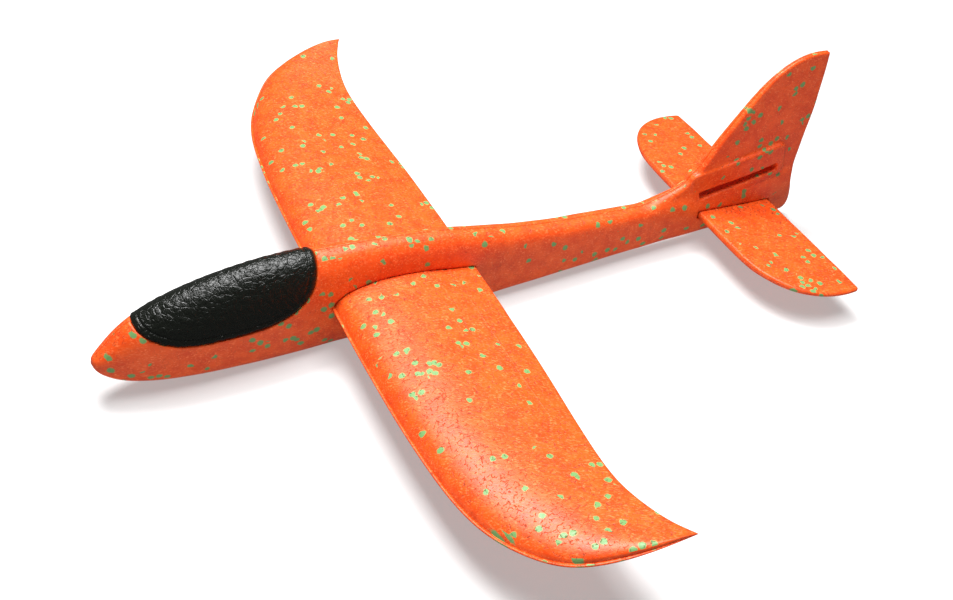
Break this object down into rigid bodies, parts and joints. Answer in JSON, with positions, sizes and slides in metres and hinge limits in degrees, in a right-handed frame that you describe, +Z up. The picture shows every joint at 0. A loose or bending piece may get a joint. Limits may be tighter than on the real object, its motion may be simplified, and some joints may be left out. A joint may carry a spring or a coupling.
{
  "type": "foam hand-launch glider",
  "caption": "Toy glider of moulded bead foam with a push-through wing, a tailplane in a slotted fin and a lift-off canopy, thrown by hand.",
  "frame": {"origin": "under the middle of the glider, at the height of the flat on the belly", "axes": "+X to the nose, +Y to the port wing tip, +Z up"},
  "size_m": [0.4776, 0.4796, 0.1316],
  "materials": {
    "orange_foam": "satin",
    "black_foam": "satin",
    "ballast_steel": "satin"
  },
  "bodies": {
    "fuselage": {"fuselage": "orange_foam", "nose_weight": "ballast_steel"},
    "main_wing": {"main_wing": "orange_foam"},
    "tailplane": {"tailplane": "orange_foam"},
    "canopy": {"canopy": "black_foam"}
  },
  "joints": [
    {"name": "wing_slide", "type": "slide", "parent": "fuselage", "child": "main_wing", "axis": [0, 1, 0], "range_m": [-0.085, 0.085]},
    {"name": "tailplane_slide", "type": "slide", "parent": "fuselage", "child": "tailplane", "axis": [0, 1, 0], "range_m": [-0.12, 0.12]},
    {"name": "canopy_lift", "type": "slide", "parent": "fuselage", "child": "canopy", "axis": [0, 0, 1], "range_m": [0, 0.06]}
  ]
}
